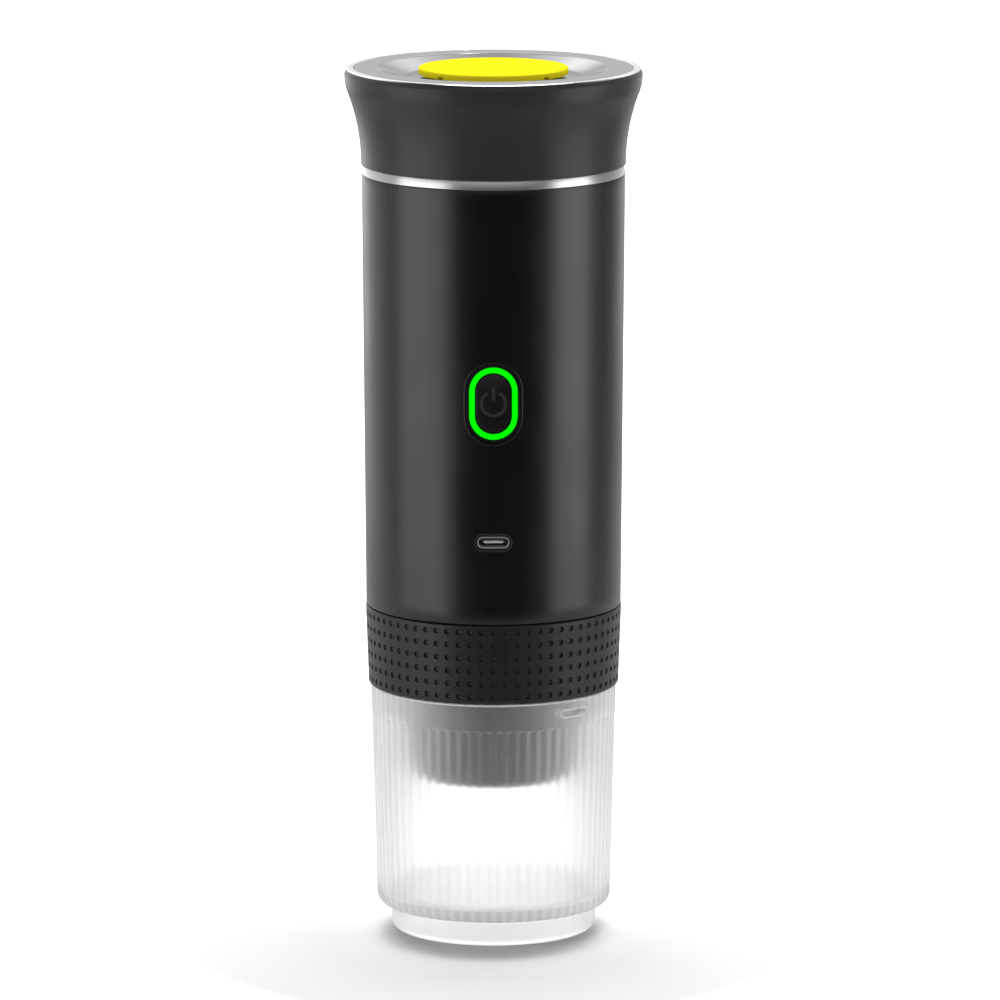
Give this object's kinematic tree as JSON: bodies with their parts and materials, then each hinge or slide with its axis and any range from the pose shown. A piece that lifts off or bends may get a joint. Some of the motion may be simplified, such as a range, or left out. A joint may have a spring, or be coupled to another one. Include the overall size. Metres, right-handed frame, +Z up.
{
  "type": "portable capsule coffee maker",
  "caption": "Tall cylindrical portable capsule coffee maker: clear ribbed cup, dimpled grip, black body with lit button and charging port, flared screw lid with a yellow vent disc.",
  "frame": {"origin": "on the table under the middle of the cup", "axes": "+Z up along the machine, -Y toward the front with the button and the port"},
  "size_m": [0.0814, 0.0814, 0.2395],
  "materials": {
    "clear_plastic": "clear moulded plastic, ribbed outside",
    "satin_black": "satin black sleeve",
    "lid_black": "fine matt black",
    "grip_rubber": "soft touch, dimpled",
    "black_plastic": "moulded black",
    "button_black": "smooth black",
    "neck_metal": "brushed round the ring",
    "plate_metal": "satin",
    "rim_metal": "bright cut bevel",
    "steel": "plain steel",
    "tank_plastic": "food grade, smoke grey",
    "heater_metal": "die cast",
    "frame_plastic": "moulded dark grey",
    "pump_plastic": "moulded off-white",
    "seal_silicone": "translucent grey silicone",
    "black_silicone": "black silicone",
    "yellow_silicone": "matt bright yellow",
    "cell_wrap": "shrink-wrapped cells",
    "board_green": "circuit board",
    "light_guide": "glowing green",
    "coupling_brass": "turned",
    "sensor_white": "ceramic white"
  },
  "bodies": {
    "cup": {"cup": "clear_plastic"},
    "chamber": {"chamber_body": "black_plastic", "grip_band": "grip_rubber", "capsule_adapter": "frame_plastic", "pierce_plate": "steel", "outlet_nozzle": "black_silicone"},
    "brew_seal": {"brew_gasket": "seal_silicone"},
    "button": {"button_cap": "button_black", "switch_plunger": "pump_plastic"},
    "rotor": {"motor_shaft": "steel", "shaft_coupling": "coupling_brass"},
    "lid_seal": {"lid_gasket": "seal_silicone"},
    "lid": {"lid_shell": "lid_black", "lid_liner": "frame_plastic", "lid_plate": "plate_metal", "rim_ring": "rim_metal"},
    "vent": {"vent_cap": "yellow_silicone"},
    "main": {"brew_head": "black_plastic", "needle_plate": "steel", "outer_sleeve": "satin_black", "neck_ring": "neck_metal", "water_tank": "tank_plastic", "inlet_filter": "steel", "heater_plate": "heater_metal", "heater_element": "steel", "thermistor": "sensor_white", "thermal_fuse": "sensor_white", "upper_deck": "frame_plastic", "lower_frame": "frame_plastic", "frame_screws": "steel", "battery_cells": "cell_wrap", "cell_holders": "pump_plastic", "cell_strip": "steel", "pump_head": "pump_plastic", "pump_seal": "black_silicone", "bell_housing": "frame_plastic", "pump_motor": "heater_metal", "inlet_hose": "seal_silicone", "main_board": "board_green", "board_parts": "black_plastic", "button_housing": "black_plastic", "light_ring": "light_guide", "tact_switch": "frame_plastic", "port_shell": "steel", "port_tongue": "black_plastic", "port_gasket": "black_silicone"}
  },
  "joints": [
    {"name": "cup_release", "type": "slide", "parent": "cup", "child": "chamber", "axis": [0, 0, 1], "range_m": [0, 0.04]},
    {"name": "body_lift", "type": "slide", "parent": "chamber", "child": "brew_seal", "axis": [0, 0, 1], "range_m": [0, 0.024]},
    {"name": "body_turn", "type": "hinge", "parent": "brew_seal", "child": "main", "pos_m": [0, 0, 0.0912], "axis": [0, 0, 1], "range_deg": [0, 540]},
    {"name": "button_press", "type": "slide", "parent": "main", "child": "button", "axis": [0, 1, 0], "range_m": [0, 0.0008], "stiffness_N_per_m": 800},
    {"name": "rotor_spin", "type": "hinge", "parent": "main", "child": "rotor", "pos_m": [0, -0.007, 0.123], "axis": [0, 0, 1], "continuous": true},
    {"name": "lid_lift", "type": "slide", "parent": "main", "child": "lid_seal", "axis": [0, 0, 1], "range_m": [0, 0.016]},
    {"name": "lid_turn", "type": "hinge", "parent": "lid_seal", "child": "lid", "pos_m": [0, 0, 0.213], "axis": [0, 0, 1], "range_deg": [0, 720]},
    {"name": "vent_pull", "type": "slide", "parent": "lid", "child": "vent", "axis": [0, 0, 1], "range_m": [0, 0.004]}
  ],
  "couplings": [
    {"joint": "body_lift", "follows": "body_turn", "m_per_rad": 0.0025465},
    {"joint": "lid_lift", "follows": "lid_turn", "m_per_rad": 0.0012732}
  ]
}
